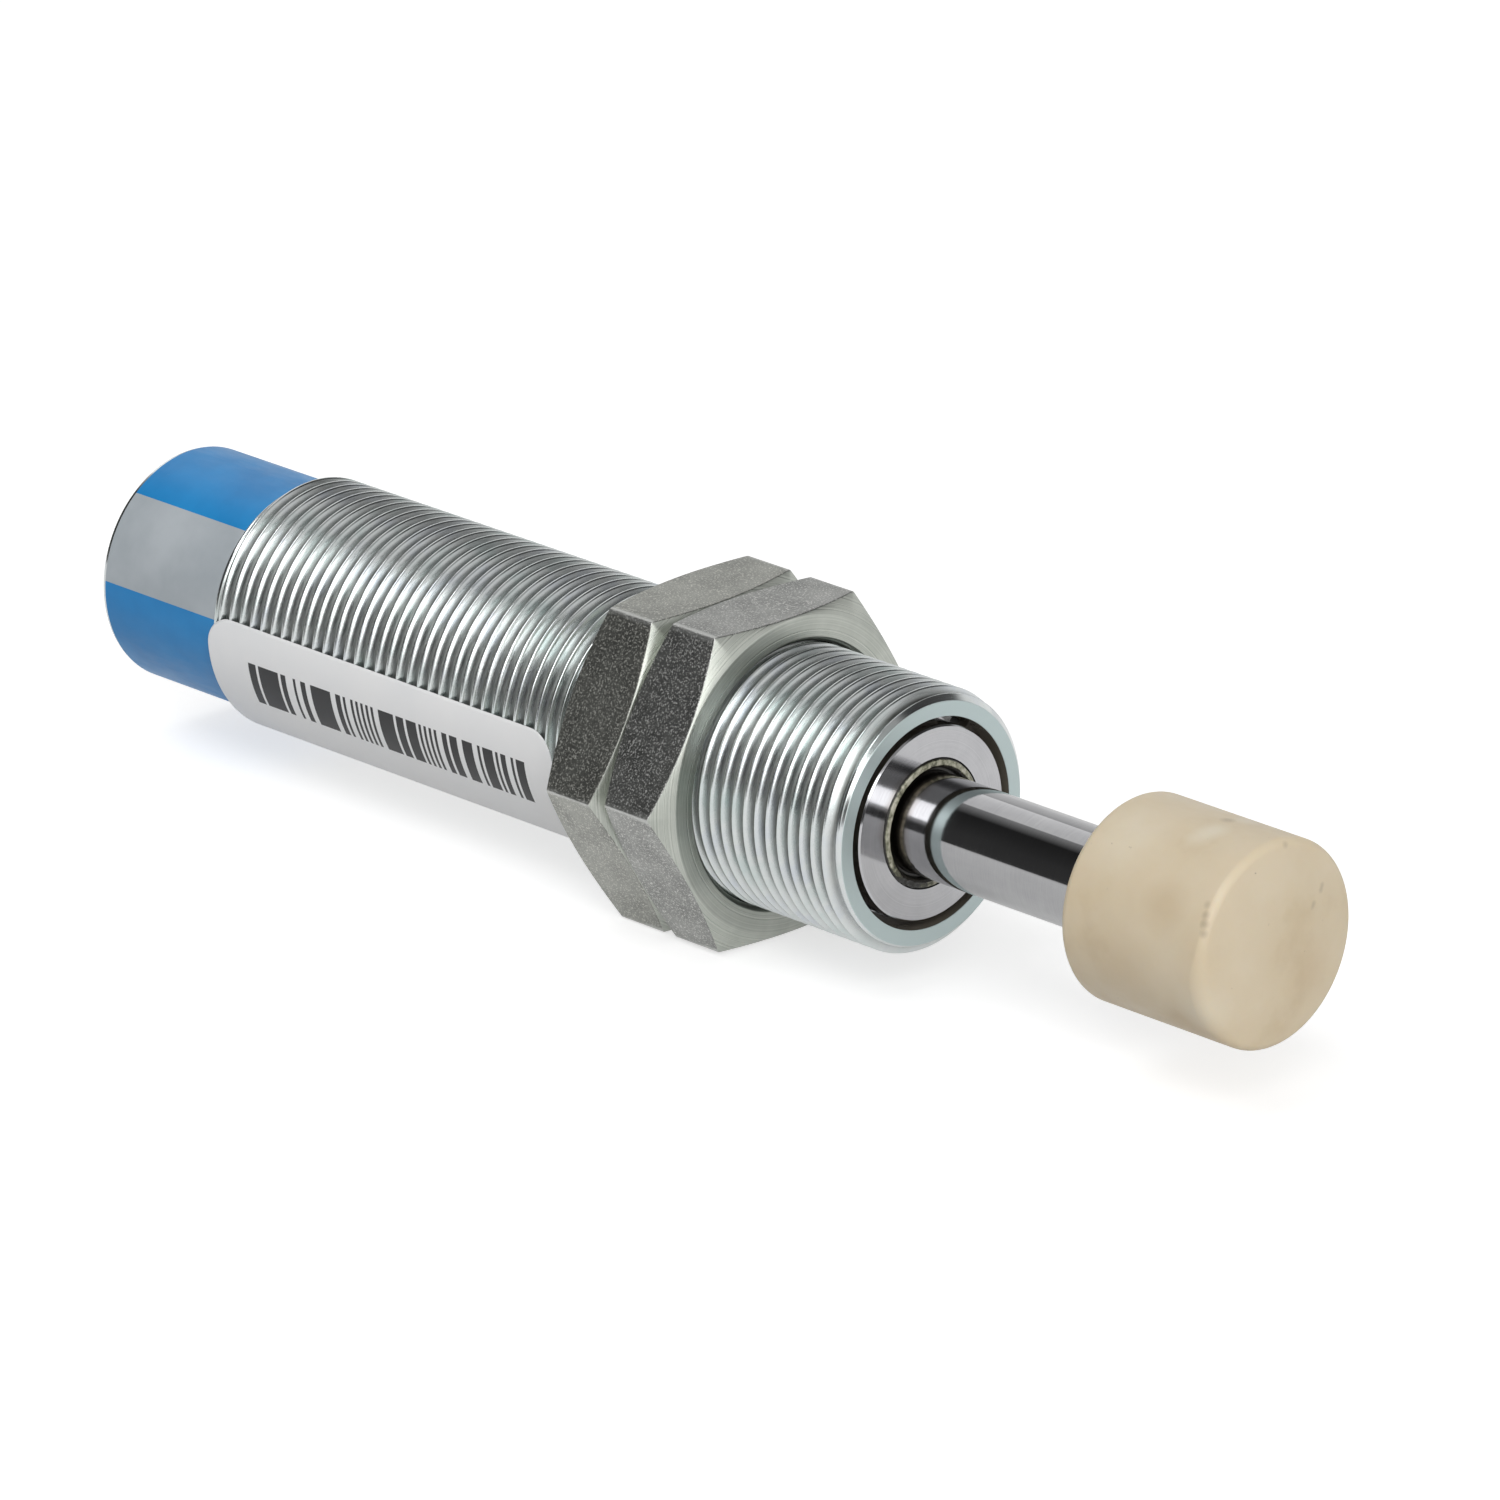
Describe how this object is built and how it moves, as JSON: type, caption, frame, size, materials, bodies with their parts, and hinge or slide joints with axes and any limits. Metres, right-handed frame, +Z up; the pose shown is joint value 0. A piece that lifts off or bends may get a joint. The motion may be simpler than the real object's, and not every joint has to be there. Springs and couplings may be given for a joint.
{
  "type": "industrial shock absorber",
  "caption": "Threaded-body hydraulic damper with a spring-returned piston rod, a plastic buffer cap and jammed lock nuts.",
  "frame": {"origin": "on the axis, in the front stop face of the threaded body", "axes": "+X along the axis towards the buffer cap, +Z up"},
  "size_m": [0.1493, 0.0366, 0.0324],
  "materials": {
    "zinc_steel": "bright blue-passivated zinc plating on a rolled thread",
    "printed_foil": "smooth printed foil in blue and silver-grey bands",
    "plug_steel": "plain machined steel",
    "seal_washer": "soft copper, flat",
    "inner_steel": "fine turned and honed steel",
    "polished_steel": "polished face, turned sides",
    "bearing_bronze": "sintered bronze",
    "seal_rubber": "smooth black rubber",
    "backup_plastic": "smooth hard plastic",
    "wiper_plastic": "cream plastic, darkened by oil at its lip",
    "foam": "fine closed-cell foam",
    "black_spring_steel": "blackened spring steel",
    "spring_steel": "drawn spring steel",
    "rod_chrome": "hard chrome, ground and polished",
    "cap_plastic": "satin beige moulded plastic with light handling marks",
    "nut_steel": "zinc-plated steel with blasted flats and turned faces"
  },
  "bodies": {
    "body": {"housing": "zinc_steel", "shank_foil": "printed_foil", "fill_plug": "plug_steel", "plug_seal": "seal_washer", "tube_base": "inner_steel", "pressure_tube": "inner_steel", "rod_guide": "polished_steel", "bearing_liner": "bearing_bronze", "rod_seal": "seal_rubber", "backup_ring": "backup_plastic", "wiper_ring": "wiper_plastic", "guide_seal": "seal_rubber", "foam_sleeve": "foam", "retaining_ring": "black_spring_steel", "return_spring": "spring_steel"},
    "rod": {"piston_rod": "rod_chrome", "piston": "inner_steel", "piston_ring": "bearing_bronze", "piston_nut": "inner_steel", "buffer_cap": "cap_plastic", "cap_ring": "spring_steel"},
    "check_valve": {"check_ring": "spring_steel"},
    "front_nut": {"front_lock_nut": "nut_steel"},
    "rear_nut": {"rear_lock_nut": "nut_steel"}
  },
  "joints": [
    {"name": "rod_slide", "type": "slide", "parent": "body", "child": "rod", "axis": [-1, 0, 0], "range_m": [0, 0.025], "stiffness_N_per_m": 900, "springref_m": -0.012, "deforming": ["return_spring"]},
    {"name": "check_ring_lift", "type": "slide", "parent": "rod", "child": "check_valve", "axis": [-1, 0, 0], "range_m": [0, 0.0005]},
    {"name": "front_nut_travel", "type": "slide", "parent": "body", "child": "front_nut", "axis": [1, 0, 0], "range_m": [0, 0.016]},
    {"name": "rear_nut_travel", "type": "slide", "parent": "body", "child": "rear_nut", "axis": [-1, 0, 0], "range_m": [0, 0.05]}
  ]
}
